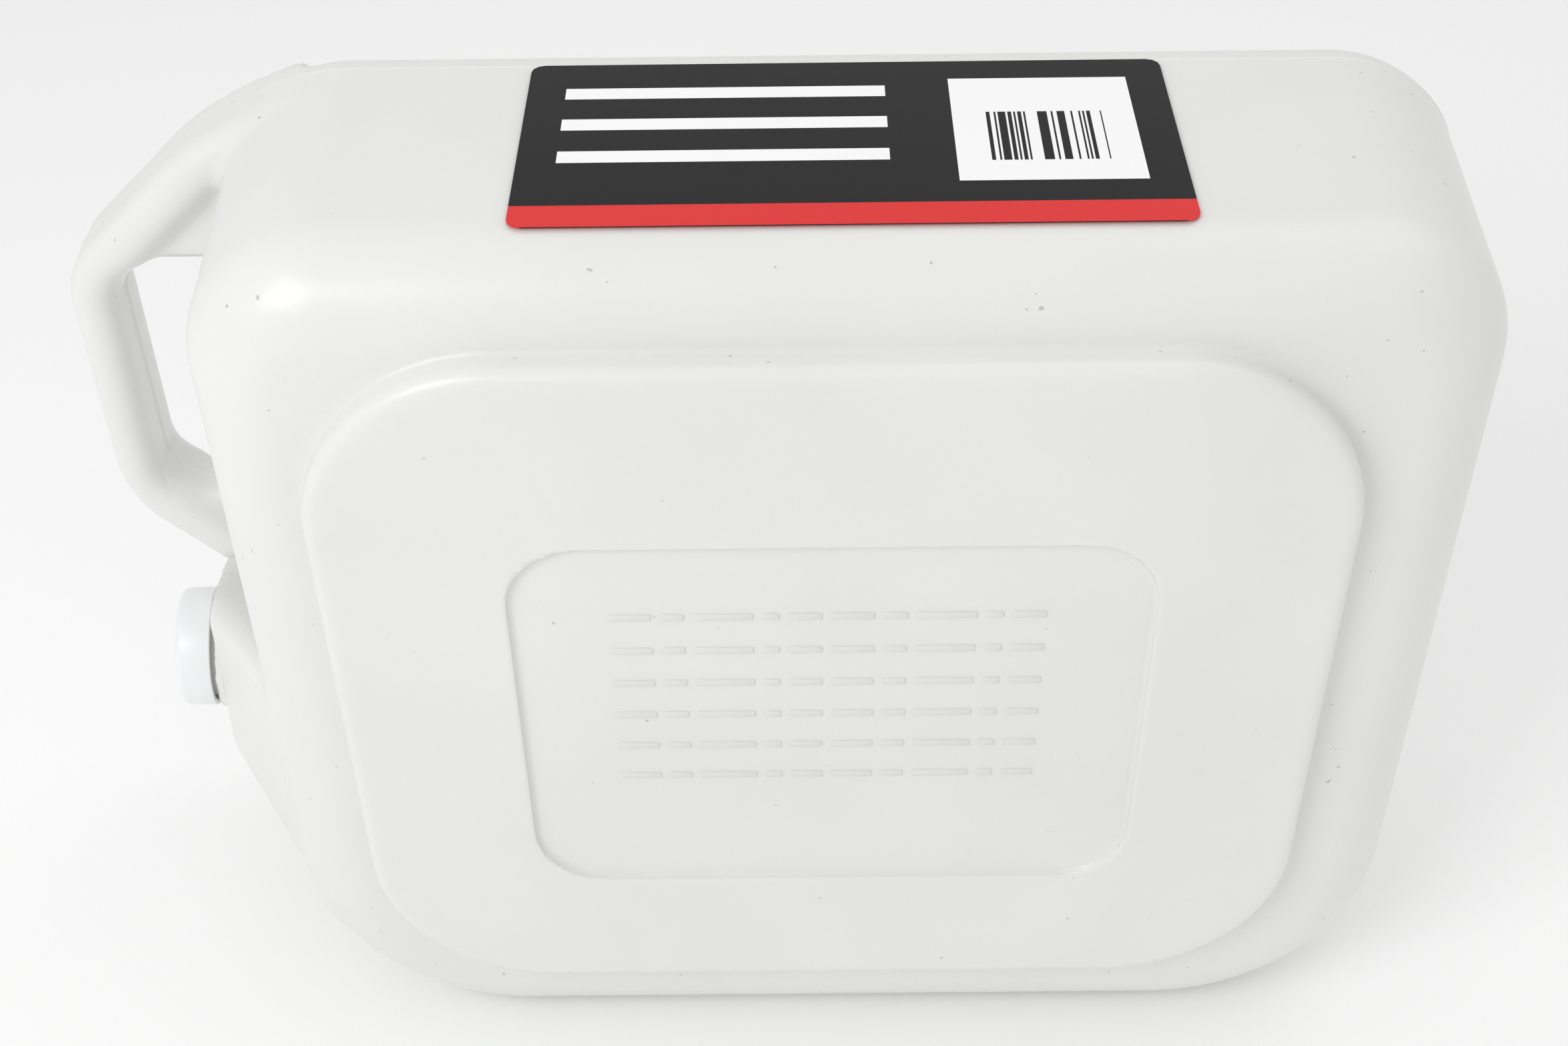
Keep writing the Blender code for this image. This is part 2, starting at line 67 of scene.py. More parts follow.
PAD_HALF = (155.2, 133.4)
PAD_CORNER = 60.0
PAD_EDGE = 4.5
PAD_BLEND = 2.5
PAD_REACH = 12.0
PANEL_CENTRE = (0.0, -5.4)
PANEL_HALF = (98.3, 74.4)
PANEL_CORNER = 24.0
PANEL_DEPTH = 2.2
PANEL_EDGE = 1.6

BASIN_FLOOR_Y = 62.0
BASIN_DRAFT = math.tan(math.radians(8.0))
BASIN_CORNER_TOP = 32.0
BASIN_CORNER_BOTTOM = 52.0
BASIN_FILLET = 14.0
BASIN_SLOPE = 3.0
BASIN_SLOPE_REACH = 120.0
WELL_RADIUS = 31.0
WELL_DEPTH = 7.0
WELL_ROUND = 2.0
DRAIN_BORE = 18.4
DRAIN_BORE_DEPTH = 16.0

# Handle, drawn in the parting plane as (x, z).
GRIP_X = -248.7
GRIP_INNER_X = -234.0
HANDLE_DEPTH = 17.0
HANDLE_ROUND = 7.5
HANDLE_BLEND = 5.0
HANDLE_MERGE_X = -165.0
HOLE_LOW = -2.3
HOLE_HIGH = 96.6
HOLE_RIGHT = -189.0
HOLE_CORNER = 16.0
STRUT_TOP = ((-202.8, 138.1), (-249.4, 93.3))
STRUT_CREST = 161.0
STRUT_CREST_ROUND = 30.0
STRUT_LOW = ((-243.6, -5.9), (-222.8, -26.2))
STRUT_WIDTH = 16.3
STRUT_TOP_ROUND = 8.0
STRUT_LOW_ROUND = 12.0
WEB_OVERLAP = 3.0
WEB_DEPTH = 10.0
WEB_ROUND = 3.0
WEB_BLEND = 4.0
NOTCH_TOP = -31.0

# Spout wedge, collar and neck.
SPOUT_ROOT = np.array((-231.4, 123.5, -86.5))
SPOUT_TOWARDS_BASE = math.radians(4.4)
SPOUT_UPWARDS = math.radians(3.8)
WEDGE_RIDGE = (-185.5, 32.0)
WEDGE_SLOPE = 0.63
WEDGE_BOTTOM = -123.0
WEDGE_TOP_BACK = (130.0, -50.0)
WEDGE_TOP_SLOPE = 0.357
WEDGE_ROUND = 9.0
WEDGE_MERGE_X = -150.0
WEDGE_FRONT_Y = 20.0
WEDGE_BLEND = 6.0
COLLAR_RADIUS = 23.2
COLLAR_LENGTH = 34.0
COLLAR_STANDOUT = 4.0
COLLAR_BLEND = 4.0
NECK_RADIUS = 19.0
NECK_BORE = 16.8
NECK_LENGTH = 11.2
NECK_BORE_DEPTH = 26.0
NECK_ROOT = -3.0
NECK_LIP = 0.6
THREAD_PITCH = 4.233
THREAD_TURNS = 1.3
THREAD_HEIGHT = 1.2
THREAD_BASE = 1.5
THREAD_CREST = 0.7
THREAD_SINK = 0.4
THREAD_FADE_DEPTH = 0.3
THREAD_RUNOUT = 0.25
THREAD_STEPS = 48
NECK_THREAD_START = 3.6

CAP_RADIUS = 22.75
CAP_HEIGHT = 13.0
CAP_STANDOFF = 1.8
CAP_SKIRT = 1.9
CAP_TOP = 1.7
CAP_LIP = 0.5
CAP_ROUND = 3.0
CAP_DRAFT = 0.3
CAP_RECESS = 0.25
CAP_RECESS_EDGES = (5.2, 5.8)

# Raised bars on the base panel.
MARK_LENGTHS = (13.0, 7.0, 18.0, 5.0, 10.0, 13.0, 7.0, 18.0, 5.0, 10.0)
MARK_SPACE = 3.0
MARK_START = -68.0
MARK_TOP = 40.0
MARK_PITCH = 14.0
MARK_ROWS = 6
MARK_HALF = 1.3
MARK_RAISED = 0.3
MARK_ROUND = 0.2

LABEL_DARK = (0.006, 0.006, 0.007, 1)
LABEL_LIGHT = (0.93, 0.93, 0.94, 1)
LABEL_RED = (0.72, 0.03, 0.03, 1)
# Where each part of the label is, as shares of its width and depth: (from, to).
LABEL_BAND = (0.0, 0.12)
LABEL_BOX = ((0.66, 0.94), (0.24, 0.88))
LABEL_LINES = ((0.06, 0.56), (0.84, 0.64, 0.44))
LABEL_LINE = 0.07
LABEL_CODE = ((0.71, 0.89), (0.36, 0.66))
LABEL_BARS = 330.0

SEAM_HEIGHT = 0.3
SEAM_WIDTH = 0.5
# The seam fades in between these distances from the basin.
SEAM_FADE_START = 20.0
SEAM_FADE = 4.0

# Grid the container's surface is drawn on: spacings, and its low and high corner.
COARSE = 2.3
FINE = 1.7
NEAR_EDGE = 0.7
EDGE_REACH = 2.0
GRID_LOW = (-252.0, -2.5, -178.5)
GRID_HIGH = (210.5, 150.0, 164.0)
FINE_TO_X = -178.0
FINE_Y = ((-1.0, 3.4, 0.6), (8.5, 12.5, 0.9), (122.9, 125.1, 0.35))

# Camera, in the mould's frame.
CAMERA_PLACE = (-10.9, -469.4, 484.5)
CAMERA_PITCH = 40.8
CAMERA_YAW = 0.393
CAMERA_ROLL = -0.842
CAMERA_LENS = 49.06
SENSOR = 36.0

# Studio: name, place, size and power of each light, all aimed at the middle of the part.
LIGHTS = (("key", (-0.75, -0.85, 1.1), 0.7, 6.5), ("fill", (0.6, 0.3, 1.3), 0.9, 1.6))
LIGHT_TARGET = (0, 0, 0.2)
STUDIO_BRIGHTNESS = 0.76
FLOOR_HALF = 4.0
FLOOR_DROP = 0.0002

spout_axis = np.array((-1.0, -math.tan(SPOUT_TOWARDS_BASE), math.tan(SPOUT_UPWARDS)))
spout_axis /= np.linalg.norm(spout_axis)


def rounded_rectangle(u, v, half_u, half_v, radius):
    """Signed distance to a rounded rectangle about (0, 0)."""
    a = np.abs(u) - half_u + radius
    b = np.abs(v) - half_v + radius
    outside = np.hypot(np.maximum(a, 0.0), np.maximum(b, 0.0))
    return outside + np.minimum(np.maximum(a, b), 0.0) - radius


def round_both(a, b, radius):
    """Inside both, with a rounded edge where the two surfaces meet."""
    outside = np.hypot(np.maximum(a + radius, 0.0), np.maximum(b + radius, 0.0))
    return outside + np.minimum(np.maximum(a, b) + radius, 0.0) - radius


def round_either(a, b, radius):
    """Inside either, with a fillet between them."""
    return -round_both(-a, -b, radius)


def half_plane(x, z, line):
    """Distance past a line through two points, on the side to its right."""
    (x0, z0), (x1, z1) = line
    length = math.hypot(x1 - x0, z1 - z0)
    return ((x - x0) * (z1 - z0) - (z - z0) * (x1 - x0)) / length


def slab(x, y, z):
    """The body with its rounded front and rim, tapering a little towards the base."""
    taper = (y - BODY_FRONT_Y) / (PARTING_Y - BODY_FRONT_Y)
    half = BODY_HALF_FRONT + (BODY_HALF_PARTING - BODY_HALF_FRONT) * np.clip(taper, 0.0, 1.0)
    corner = np.where(z > BODY_CENTRE[1], BODY_CORNER_TOP, BODY_CORNER_BOTTOM)
    sides = rounded_rectangle(x - BODY_CENTRE[0], z - BODY_CENTRE[1], half, BODY_HALF_HEIGHT, corner)
    front = round_both(sides, BODY_FRONT_Y - y, FRONT_FILLET)
    back = round_both(sides, y - RIM_Y, RIM_OUTER_ROUND)
    return np.maximum(front, back)


def pad(x, y, z):
    """The raised base pad."""
    sides = rounded_rectangle(x, z, *PAD_HALF, PAD_CORNER)
    return np.maximum(round_both(sides, -y, PAD_EDGE), y - BODY_FRONT_Y - PAD_REACH)


def panel(x, y, z):
    """The space of the pad's shallow panel."""
    sides = rounded_rectangle(x - PANEL_CENTRE[0], z - PANEL_CENTRE[1], *PANEL_HALF, PANEL_CORNER)
    return round_both(sides, y - PANEL_DEPTH, PANEL_EDGE)


def basin(x, y, z):
    """The space of the catch basin, its drain well and the drain hole."""
    u, v = x - BODY_CENTRE[0], z - BODY_CENTRE[1]
    pull = RIM_INNER_PULL + (RIM_Y - RIM_INNER_ROUND - y) * BASIN_DRAFT
    corner = np.where(v > 0.0, BASIN_CORNER_TOP, BASIN_CORNER_BOTTOM)
    across = rounded_rectangle(u, v, BODY_HALF_PARTING - pull, BODY_HALF_HEIGHT - pull, corner)
    radial = np.hypot(u, v)
    floor = BASIN_FLOOR_Y - BASIN_SLOPE * np.clip(1.0 - (radial - WELL_RADIUS) / BASIN_SLOPE_REACH, 0.0, 1.0)
    space = round_both(across, floor - y, BASIN_FILLET)
    well_floor = BASIN_FLOOR_Y - BASIN_SLOPE - WELL_DEPTH
    space = round_either(space, np.maximum(radial - WELL_RADIUS, well_floor - y), WELL_ROUND)
    hole = np.maximum(radial - DRAIN_BORE, well_floor - DRAIN_BORE_DEPTH - y)
    return np.minimum(space, np.maximum(hole, y - BASIN_FLOOR_Y))


def handle(x, y, z):
    """The grip with its two struts, and the thinner web under the upper strut."""
    outline = round_both(GRIP_X - x, half_plane(x, z, STRUT_TOP), STRUT_TOP_ROUND)
    outline = round_both(outline, half_plane(x, z, STRUT_LOW), STRUT_LOW_ROUND)
    outline = round_both(outline, z - STRUT_CREST, STRUT_CREST_ROUND)
    outline = np.maximum(outline, x - HANDLE_MERGE_X)
    outline = np.maximum(outline, NOTCH_TOP - z)
    hole_u = x - (GRIP_INNER_X + HOLE_RIGHT) / 2
    hole_v = z - (HOLE_LOW + HOLE_HIGH) / 2
    hole = rounded_rectangle(hole_u, hole_v, (HOLE_RIGHT - GRIP_INNER_X) / 2,
                             (HOLE_HIGH - HOLE_LOW) / 2, HOLE_CORNER)
    flat = np.maximum(outline, -hole)
    web = np.maximum(flat, outline + STRUT_WIDTH - WEB_OVERLAP)
    web = np.maximum(web, GRIP_INNER_X + WEB_OVERLAP - x)
    web = round_both(web, np.abs(y - PARTING_Y) - WEB_DEPTH, WEB_ROUND)
    band = np.maximum(flat, -(outline + STRUT_WIDTH))
    band = round_both(band, np.abs(y - PARTING_Y) - HANDLE_DEPTH, HANDLE_ROUND)
    return round_either(web, band, WEB_BLEND)


def spout_wedge(x, y, z):
    """The slanting shoulder that leads to the round collar."""
    facet = (WEDGE_RIDGE[0] - WEDGE_SLOPE * (y - WEDGE_RIDGE[1]) - x) / math.hypot(1.0, WEDGE_SLOPE)
    top = WEDGE_TOP_BACK[1] + WEDGE_TOP_SLOPE * (WEDGE_TOP_BACK[0] - y)
    above = (z - top) / math.hypot(1.0, WEDGE_TOP_SLOPE)
    wedge = round_both(facet, above, WEDGE_ROUND)
    wedge = round_both(wedge, WEDGE_BOTTOM - z, WEDGE_ROUND)
    wedge = round_both(wedge, y - RIM_Y, WEDGE_ROUND)
    wedge = np.maximum(wedge, np.maximum(x - WEDGE_MERGE_X, WEDGE_FRONT_Y - y))
    along, radial = about_spout(x, y, z)
    wedge = np.maximum(wedge, along + COLLAR_STANDOUT)
    collar = np.maximum(radial - COLLAR_RADIUS, np.maximum(along, -along - COLLAR_LENGTH))
    return round_either(wedge, collar, COLLAR_BLEND)


def about_spout(x, y, z):
    """Distance along the spout's axis from the collar's face, and distance from that axis."""
    dx, dy, dz = x - SPOUT_ROOT[0], y - SPOUT_ROOT[1], z - SPOUT_ROOT[2]
    along = dx * spout_axis[0] + dy * spout_axis[1] + dz * spout_axis[2]
    square = dx * dx + dy * dy + dz * dz - along * along
    return along, np.sqrt(np.maximum(square, 0.0))


def container(x, y, z):
    """Signed distance to the container's outer skin, in millimetres."""
    body = round_either(slab(x, y, z), pad(x, y, z), PAD_BLEND)
    body = np.maximum(body, -panel(x, y, z))
    body = round_either(body, handle(x, y, z), HANDLE_BLEND)
    body = np.maximum(body, GRIP_X - x)
    body = round_either(body, spout_wedge(x, y, z), WEDGE_BLEND)
    body = np.maximum(body, np.maximum(y - RIM_Y, z - BODY_CENTRE[1] - BODY_HALF_HEIGHT))
    space = basin(x, y, z)
    body = round_both(body, -space, RIM_INNER_ROUND)
    along, radial = about_spout(x, y, z)
    body = np.maximum(body, -np.maximum(radial - NECK_BORE, -along - NECK_BORE_DEPTH))
    outside_basin = np.clip((space - SEAM_FADE_START) / SEAM_FADE, 0.0, 1.0)
    seam = SEAM_HEIGHT * np.exp(-((y - PARTING_Y) / SEAM_WIDTH) ** 2) * outside_basin
    return body - seam


def spaced(low, high, step, refined=()):
    """Grid lines from low to high, closer together inside each refined (low, high, step)."""
    lines = [low]
    while lines[-1] < high:
        here = min([step] + [s for a, b, s in refined if a - step < lines[-1] < b])
        lines.append(lines[-1] + here)
    return np.array(lines, np.float64)


def surface_nets(field, xs, ys, zs):
    """Vertices and quads of the surface where field is zero, one vertex in each cell it crosses."""
    shape = (len(xs), len(ys), len(zs))
    values = np.empty(shape)
    y, z = np.meshgrid(ys, zs, indexing="ij")
    for i, x in enumerate(xs):
        values[i] = field(np.full_like(y, x), y, z)
    inside = values < 0.0
    cells = tuple(n - 1 for n in shape)
    count = np.zeros(cells, np.int8)
    corners = [(i, j, k) for i in (0, 1) for j in (0, 1) for k in (0, 1)]
    for i, j, k in corners:
        count += inside[i:i + cells[0], j:j + cells[1], k:k + cells[2]]
    active = np.argwhere((count > 0) & (count < 8))
    index = np.full(cells, -1, np.int64)
    index[tuple(active.T)] = np.arange(len(active))
    lines = (xs, ys, zs)
    total = np.zeros((len(active), 3))
    crossings = np.zeros(len(active))
    for axis in range(3):
        others = [a for a in range(3) if a != axis]
        for first in (0, 1):
            for second in (0, 1):
                start = active.copy()
                start[:, others[0]] += first
                start[:, others[1]] += second
                end = start.copy()
                end[:, axis] += 1
                a, b = values[tuple(start.T)], values[tuple(end.T)]
                cut = (a < 0) != (b < 0)
                share = np.where(cut, a / np.where(cut, a - b, 1.0), 0.0)
                point = np.stack([lines[n][start[:, n]] for n in range(3)], axis=1)
                point[:, axis] += share * (lines[axis][end[:, axis]] - lines[axis][start[:, axis]])
                total += np.where(cut[:, None], point, 0.0)
                crossings += cut
    points = total / crossings[:, None]
    quads = []
    for axis in range(3):
        b, c = (axis + 1) % 3, (axis + 2) % 3
        low = [slice(1, -1)] * 3
        low[axis] = slice(0, -1)
        high = list(low)
        high[axis] = slice(1, None)
        here, there = inside[tuple(low)], inside[tuple(high)]
        edge = np.argwhere(here != there)
        outward = here[tuple(edge.T)]
        base = edge + 1
        base[:, axis] -= 1
        around = []
        for db, dc in ((-1, -1), (0, -1), (0, 0), (-1, 0)):
            cell = base.copy()
            cell[:, b] += db
            cell[:, c] += dc
            around.append(index[tuple(cell.T)])
        quad = np.stack(around, axis=1)
        quad[~outward] = quad[~outward][:, ::-1]
        quads.append(quad)
    return points, np.concatenate(quads)


def slope(field, points, step=0.05):
    result = np.empty_like(points)
    for axis in range(3):
        shift = np.zeros(3)
        shift[axis] = step
        result[:, axis] = field(*(points + shift).T) - field(*(points - shift).T)
    return result / (2 * step)


def settle(field, points, rounds=4, limit=1.0):
    """Moves points onto the surface along its slope."""
    for _ in range(rounds):
        gradient = slope(field, points)
        size = np.maximum((gradient ** 2).sum(axis=1), 0.05)
        move = -(field(*points.T) / size)[:, None] * gradient
        length = np.maximum(np.linalg.norm(move, axis=1), 1e-9)
        points = points + move * np.minimum(1.0, limit / length)[:, None]
    return points


def to_part(points):
    return (np.asarray(points, float) + MOULD_TO_PART) * MM


def mesh_piece(name, points, faces, material, smooth=True):
    data = bpy.data.meshes.new(name)
    data.from_pydata([tuple(p) for p in points], [], [tuple(f) for f in faces])
    data.validate()
    data.materials.append(material)
    if smooth:
        data.shade_smooth()
    piece = bpy.data.objects.new(name, data)
    bpy.context.collection.objects.link(piece)
    return piece


def container_piece(material):
    edges_x = (-PANEL_HALF[0], PANEL_HALF[0])
    edges_z = (PANEL_CENTRE[1] - PANEL_HALF[1], PANEL_CENTRE[1] + PANEL_HALF[1])
    near_x, near_z = ([(e - EDGE_REACH, e + EDGE_REACH, NEAR_EDGE) for e in edges]
                      for edges in (edges_x, edges_z))
    xs = spaced(GRID_LOW[0], GRID_HIGH[0], COARSE, [(GRID_LOW[0], FINE_TO_X, FINE)] + near_x)
    ys = spaced(GRID_LOW[1], GRID_HIGH[1], COARSE, FINE_Y)
    zs = spaced(GRID_LOW[2], GRID_HIGH[2], COARSE, near_z)
    points, quads = surface_nets(container, xs, ys, zs)
    points = settle(container, points)
    piece = mesh_piece("container_shell", to_part(points), quads, material)
    piece.data.set_sharp_from_angle(angle=math.radians(55.0))
    return piece


def rounded_bar(mesh, centre, half, height):
    """One raised bar on the panel's floor, with its edges rounded."""
    made = bmesh.ops.create_cube(mesh, size=1.0)
    verts = made["verts"]
    bmesh.ops.scale(mesh, verts=verts, vec=Vector((2 * half[0], 2 * height, 2 * half[1])) * MM)
    place = to_part((centre[0], PANEL_DEPTH, centre[1]))
    bmesh.ops.translate(mesh, verts=verts, vec=Vector(place))
    edges = list({edge for vert in verts for edge in vert.link_edges})
    bmesh.ops.bevel(mesh, geom=edges, offset=MARK_ROUND * MM, segments=2, affect="EDGES", profile=0.5)


def marks_piece(material):
    """Plain raised bars in even rows on the panel, in place of its moulded notices."""
    mesh = bmesh.new()
    for row in range(MARK_ROWS):
        height = MARK_TOP - MARK_PITCH * row
        along = MARK_START
        for length in MARK_LENGTHS:
            rounded_bar(mesh, (along + length / 2, height), (length / 2, MARK_HALF), MARK_RAISED)
            along += length + MARK_SPACE
    data = bpy.data.meshes.new("panel_marks")
    mesh.to_mesh(data)
    mesh.free()
    data.materials.append(material)
    data.shade_smooth()
    piece = bpy.data.objects.new("panel_marks", data)
    bpy.context.collection.objects.link(piece)
    return piece


def placed_on_spout(lift=0.0):
    turn = Vector((0, 0, 1)).rotation_difference(Vector(spout_axis)).to_matrix().to_4x4()
    place = to_part(SPOUT_ROOT + spout_axis * lift)
    return Matrix.Translation(Vector(place)) @ turn


def turned(name, profile, material, placing, steps=96):
    """A closed profile of (radius, height) in millimetres, turned about local Z."""
    mesh = bmesh.new()
    rings = []
    for step in range(steps):
        angle = math.tau * step / steps
        rings.append([mesh.verts.new((r * math.cos(angle) * MM, r * math.sin(angle) * MM, h * MM))
                      for r, h in profile])
    for i, ring in enumerate(rings):
        following = rings[(i + 1) % steps]
        for j in range(len(profile)):
            k = (j + 1) % len(profile)
            mesh.faces.new((ring[j], following[j], following[k], ring[k]))
    bmesh.ops.remove_doubles(mesh, verts=mesh.verts, dist=1e-7)
    loose = [edge for edge in mesh.edges if not edge.link_faces]
    bmesh.ops.delete(mesh, geom=loose, context="EDGES")
    bmesh.ops.recalc_face_normals(mesh, faces=mesh.faces)
    data = bpy.data.meshes.new(name)
    mesh.to_mesh(data)
    mesh.free()
    data.transform(placing)
    data.materials.append(material)
    data.shade_smooth()
    data.set_sharp_from_angle(angle=math.radians(35.0))
    piece = bpy.data.objects.new(name, data)
    bpy.context.collection.objects.link(piece)
    return piece


def arc(centre, radius, first, last, steps):
    """Points on an arc, angles in degrees from +radius towards +height."""
    points = []
    for step in range(steps + 1):
        angle = math.radians(first + (last - first) * step / steps)
        points.append((centre[0] + radius * math.cos(angle), centre[1] + radius * math.sin(angle)))
    return points


def cap_piece(material):
    low, high = CAP_STANDOFF, CAP_STANDOFF + CAP_HEIGHT
    inner = CAP_RADIUS - CAP_SKIRT
    profile = [(inner, low), (CAP_RADIUS - CAP_LIP, low)]
    profile += arc((CAP_RADIUS - CAP_LIP, low + CAP_LIP), CAP_LIP, -90.0, 0.0, 3)
    profile += arc((CAP_RADIUS - CAP_ROUND - CAP_DRAFT, high - CAP_ROUND), CAP_ROUND, 8.0, 90.0, 8)
    edge, recess = (CAP_RADIUS - inwards for inwards in CAP_RECESS_EDGES)
    profile += [(edge, high), (recess, high - CAP_RECESS), (0.0, high - CAP_RECESS),
                (0.0, high - CAP_TOP), (inner, high - CAP_TOP)]
    return turned("spout_cap_body", profile, material, placed_on_spout())


def neck_piece(material):
    profile = [(NECK_BORE, NECK_ROOT), (NECK_RADIUS, NECK_ROOT), (NECK_RADIUS, NECK_LENGTH - NECK_LIP)]
    profile += arc((NECK_RADIUS - NECK_LIP, NECK_LENGTH - NECK_LIP), NECK_LIP, 0.0, 90.0, 3)
    profile += [(NECK_BORE, NECK_LENGTH)]
    return turned("spout_neck", profile, material, placed_on_spout())


def thread_piece(material):
    total = int(THREAD_TURNS * THREAD_STEPS)
    root = NECK_RADIUS - THREAD_SINK
    points, faces = [], []
    for i in range(total + 1):
        angle = math.tau * i / THREAD_STEPS
        fade = min(1.0, i / (THREAD_RUNOUT * total), (total - i) / (THREAD_RUNOUT * total))
        crest = NECK_RADIUS + THREAD_HEIGHT * fade - THREAD_FADE_DEPTH * (1 - fade)
        middle = NECK_THREAD_START + THREAD_PITCH * angle / math.tau
        section = ((root, -THREAD_BASE / 2), (crest, -THREAD_CREST / 2),
                   (crest, THREAD_CREST / 2), (root, THREAD_BASE / 2))
        for r, h in section:
            points.append((r * math.cos(angle) * MM, r * math.sin(angle) * MM, (middle + h) * MM))
    for i in range(total):
        for j in range(4):
            k = (j + 1) % 4
            faces.append((4 * i + j, 4 * i + k, 4 * i + 4 + k, 4 * i + 4 + j))
    faces += [(0, 3, 2, 1), (4 * total, 4 * total + 1, 4 * total + 2, 4 * total + 3)]
    piece = mesh_piece("spout_neck_thread", points, faces, material)
    piece.data.transform(placed_on_spout())
    return piece


def new_material(name, colour, roughness):
    made = bpy.data.materials.new(name)
    made.use_nodes = True
    shader = made.node_tree.nodes["Principled BSDF"]
    shader.inputs["Base Color"].default_value = (*colour, 1.0)
    shader.inputs["Roughness"].default_value = roughness
    return made, made.node_tree, shader


def noise(tree, scale, detail=3.0):
    place = tree.nodes.new("ShaderNodeTexCoord")
    node = tree.nodes.new("ShaderNodeTexNoise")
    node.inputs["Scale"].default_value = scale
    node.inputs["Detail"].default_value = detail
    tree.links.new(place.outputs["Object"], node.inputs["Vector"])
    return node.outputs["Fac"]


def ramp(tree, value, stops):
    node = tree.nodes.new("ShaderNodeValToRGB")
    node.color_ramp.elements[0].position, node.color_ramp.elements[0].color = stops[0]
    node.color_ramp.elements[1].position, node.color_ramp.elements[1].color = stops[1]
    tree.links.new(value, node.inputs["Fac"])
    return node.outputs["Color"]


def bump(tree, shader, height, strength, distance):
    node = tree.nodes.new("ShaderNodeBump")
    node.inputs["Strength"].default_value = strength
    node.inputs["Distance"].default_value = distance
    tree.links.new(height, node.inputs["Height"])
    tree.links.new(node.outputs["Normal"], shader.inputs["Normal"])


def polyethylene():
    """Natural, slightly milky polyethylene with a faint mottle, a fine orange peel and dark specks."""
    made, tree, shader = new_material("polyethylene", (0.76, 0.76, 0.74), 0.3)
    mottle = ramp(tree, noise(tree, 9.0), ((0.35, (0.755, 0.76, 0.735, 1)), (0.65, (0.785, 0.785, 0.765, 1))))
    specks = ramp(tree, noise(tree, 420.0, 0.0), ((0.865, (1, 1, 1, 1)), (0.885, (0.7, 0.68, 0.64, 1))))
    mix = tree.nodes.new("ShaderNodeMix")
    mix.data_type = "RGBA"
    mix.blend_type = "MULTIPLY"
    mix.inputs["Factor"].default_value = 1.0
    tree.links.new(mottle, mix.inputs["A"])
    tree.links.new(specks, mix.inputs["B"])
    tree.links.new(mix.outputs["Result"], shader.inputs["Base Color"])
    shader.inputs["Subsurface Weight"].default_value = 0.12
    shader.inputs["Subsurface Radius"].default_value = (0.006, 0.006, 0.005)
    shader.inputs["Subsurface Scale"].default_value = 1.0
    bump(tree, shader, noise(tree, 420.0, 2.0), 0.12, 0.0004)
    return made


def maths(tree, operation, first, second):
    """A Math node. Each of first and second is a number or another node's output."""
    node = tree.nodes.new("ShaderNodeMath")
    node.operation = operation
    for socket, value in zip(node.inputs, (first, second)):
        if isinstance(value, (int, float)):
            socket.default_value = value
        else:
            tree.links.new(value, socket)
    return node.outputs["Value"]


def all_of(tree, *tests):
    result = tests[0]
    for test in tests[1:]:
        result = maths(tree, "MULTIPLY", result, test)
    return result


def band(tree, value, low, high):
    """1 where value lies between low and high."""
    return all_of(tree, maths(tree, "GREATER_THAN", value, low), maths(tree, "LESS_THAN", value, high))


def painted(tree, under, colour, where):
    """colour over what is under it, wherever where is 1."""
    mix = tree.nodes.new("ShaderNodeMix")
    mix.data_type = "RGBA"
    tree.links.new(where, mix.inputs["Factor"])
    if isinstance(under, tuple):
        mix.inputs["A"].default_value = under
    else:
        tree.links.new(under, mix.inputs["A"])
    mix.inputs["B"].default_value = colour
    return mix.outputs["Result"]


def label_print():
    """A label in plain shapes: a dark field, light lines, a light box of bars and a red band."""
    made, tree, shader = new_material("label_print", (0.5, 0.5, 0.5), 0.3)
    low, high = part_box("label")
    place = tree.nodes.new("ShaderNodeTexCoord")
    split = tree.nodes.new("ShaderNodeSeparateXYZ")
    tree.links.new(place.outputs["Object"], split.inputs["Vector"])
    u, v = (maths(tree, "DIVIDE", maths(tree, "SUBTRACT", split.outputs[axis], low[n]), high[n] - low[n])
            for n, axis in enumerate(("X", "Y")))
    look = painted(tree, LABEL_DARK, LABEL_RED, band(tree, v, *LABEL_BAND))
    line_across, tops = LABEL_LINES
    boxes = [LABEL_BOX] + [(line_across, (top - LABEL_LINE, top)) for top in tops]
    for across, up in boxes:
        where = all_of(tree, band(tree, u, *across), band(tree, v, *up))
        look = painted(tree, look, LABEL_LIGHT, where)
    slot = maths(tree, "FLOOR", maths(tree, "MULTIPLY", u, LABEL_BARS), 0.0)
    chance = tree.nodes.new("ShaderNodeTexWhiteNoise")
    chance.noise_dimensions = "1D"
    tree.links.new(slot, chance.inputs["W"])
    bars = maths(tree, "GREATER_THAN", chance.outputs["Value"], 0.5)
    code = all_of(tree, bars, band(tree, u, *LABEL_CODE[0]), band(tree, v, *LABEL_CODE[1]))
    look = painted(tree, look, LABEL_DARK, code)
    tree.links.new(look, shader.inputs["Base Color"])
    shader.inputs["Specular IOR Level"].default_value = 0.2
    bump(tree, shader, noise(tree, 700.0), 0.04, 0.0002)
    return made


def plain_plastic(name, colour, roughness, grain=500.0):
    made, tree, shader = new_material(name, colour, roughness)
    tone = ramp(tree, noise(tree, 30.0), (
        (0.3, (*(c * 0.97 for c in colour), 1)), (0.7, (*(min(1.0, c * 1.03) for c in colour), 1))))
    tree.links.new(tone, shader.inputs["Base Color"])
    bump(tree, shader, noise(tree, grain), 0.1, 0.0003)
    return made


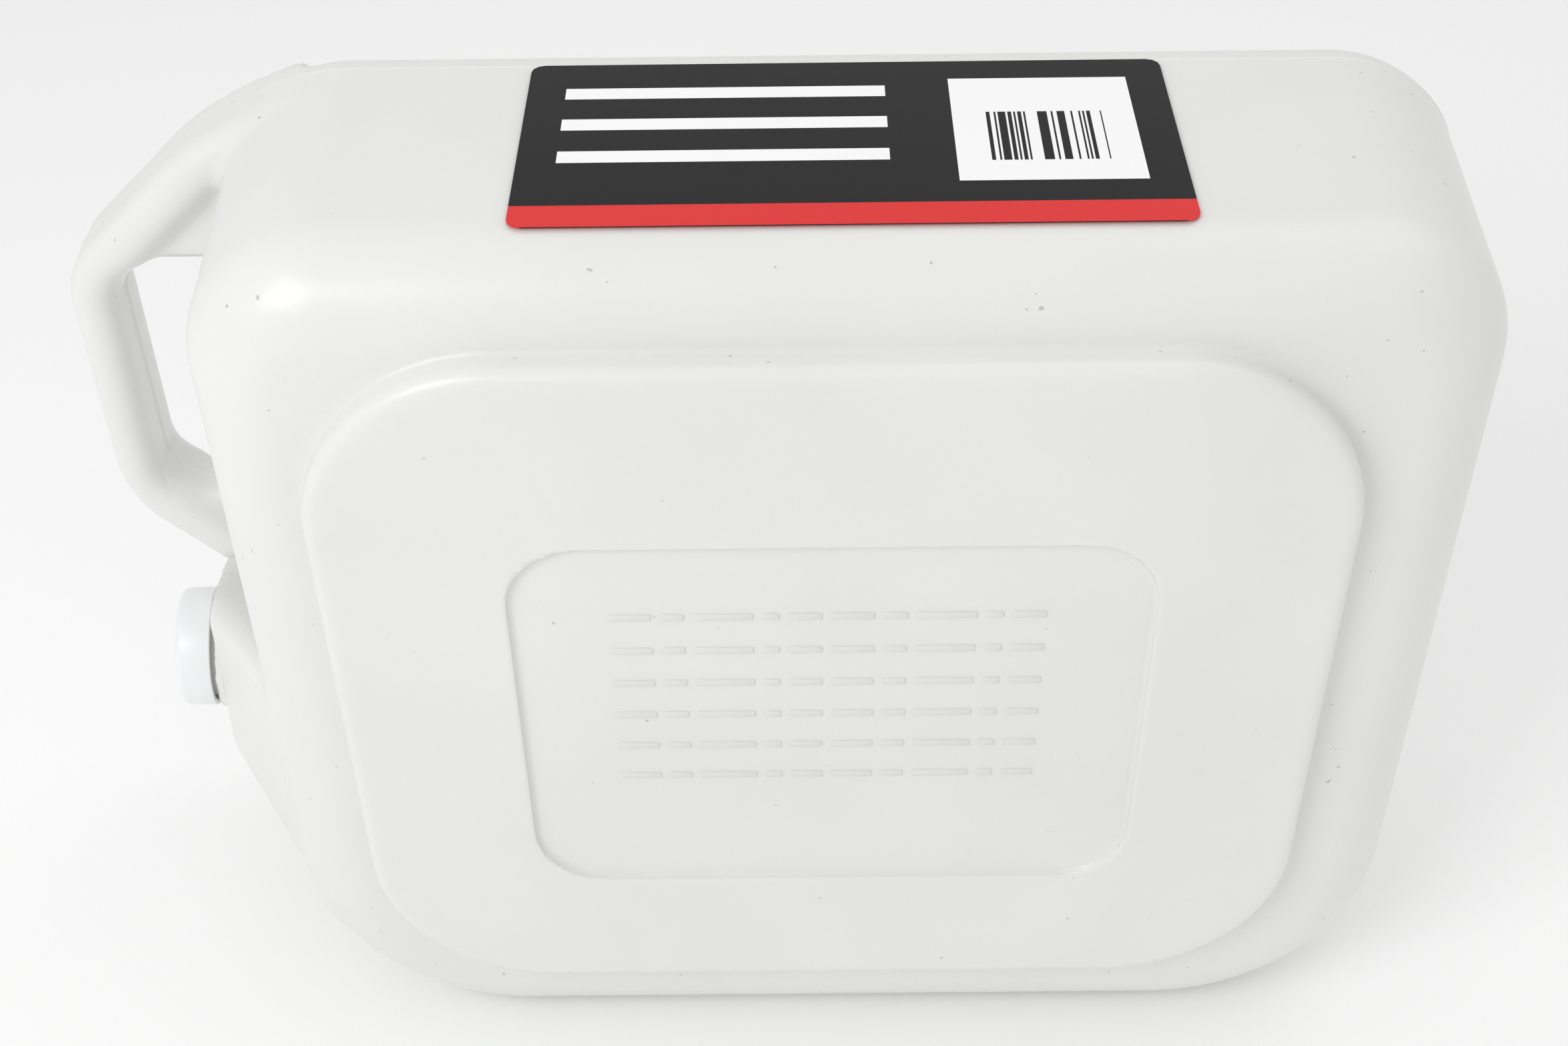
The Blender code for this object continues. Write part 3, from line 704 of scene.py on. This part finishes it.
def camera():
    pitch, yaw, roll = (math.radians(a) for a in (CAMERA_PITCH, CAMERA_YAW, CAMERA_ROLL))
    cp, sp = math.cos(pitch), math.sin(pitch)
    level = Matrix(((1, 0, 0), (0, -sp, -cp), (0, cp, -sp)))
    about_z = Matrix.Rotation(yaw, 3, "Z")
    about_view = Matrix.Rotation(roll, 3, "Z")
    rows = about_view @ (level @ about_z.transposed())
    turn = Matrix((rows[0], -rows[1], -rows[2])).transposed()
    data = bpy.data.cameras.new("camera")
    data.lens = CAMERA_LENS
    data.sensor_width = SENSOR
    made = bpy.data.objects.new("camera", data)
    made.matrix_world = Matrix.Translation(Vector(to_part(CAMERA_PLACE))) @ turn.to_4x4()
    bpy.context.collection.objects.link(made)
    bpy.context.scene.camera = made


def area_light(name, place, target, size, power):
    data = bpy.data.lights.new(name, "AREA")
    data.size = size
    data.energy = power
    made = bpy.data.objects.new(name, data)
    made.location = place
    made.rotation_euler = (Vector(target) - Vector(place)).to_track_quat("-Z", "Y").to_euler()
    bpy.context.collection.objects.link(made)


def stage():
    floor_material, _, _ = new_material("floor", (0.98, 0.98, 0.98), 0.7)
    half = FLOOR_HALF
    floor = mesh_piece("floor", [(-half, -half, 0), (half, -half, 0), (half, half, 0), (-half, half, 0)],
                       [(0, 1, 2, 3)], floor_material, smooth=False)
    floor.location.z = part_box("container")[0][2] - FLOOR_DROP
    world = bpy.data.worlds.new("studio")
    world.use_nodes = True
    world.node_tree.nodes["Background"].inputs["Color"].default_value = (1, 1, 1, 1)
    world.node_tree.nodes["Background"].inputs["Strength"].default_value = STUDIO_BRIGHTNESS
    bpy.context.scene.world = world
    for name, place, size, power in LIGHTS:
        area_light(name, place, LIGHT_TARGET, size, power)
    bpy.context.scene.view_settings.view_transform = "Standard"


def main():
    hdpe = polyethylene()
    white = plain_plastic("cap_white", (0.86, 0.87, 0.88), 0.32)
    pieces = [container_piece(hdpe), marks_piece(hdpe), neck_piece(hdpe), thread_piece(hdpe)]
    for piece in pieces:
        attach(piece, "container")
        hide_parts("container")
    cap = cap_piece(white)
    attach(cap, "spout_cap")
    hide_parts("spout_cap")
    looks = {
        "drain_plug": white,
        "spout_cap_liner": plain_plastic("foam", (0.80, 0.80, 0.78), 0.85, 900.0),
        "drain_gasket": plain_plastic("rubber", (0.02, 0.02, 0.02), 0.7),
        "label": label_print(),
    }
    for node, look in looks.items():
        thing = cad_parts[node]
        thing.data.materials.clear()
        thing.data.materials.append(look)
    camera()
    stage()


main()
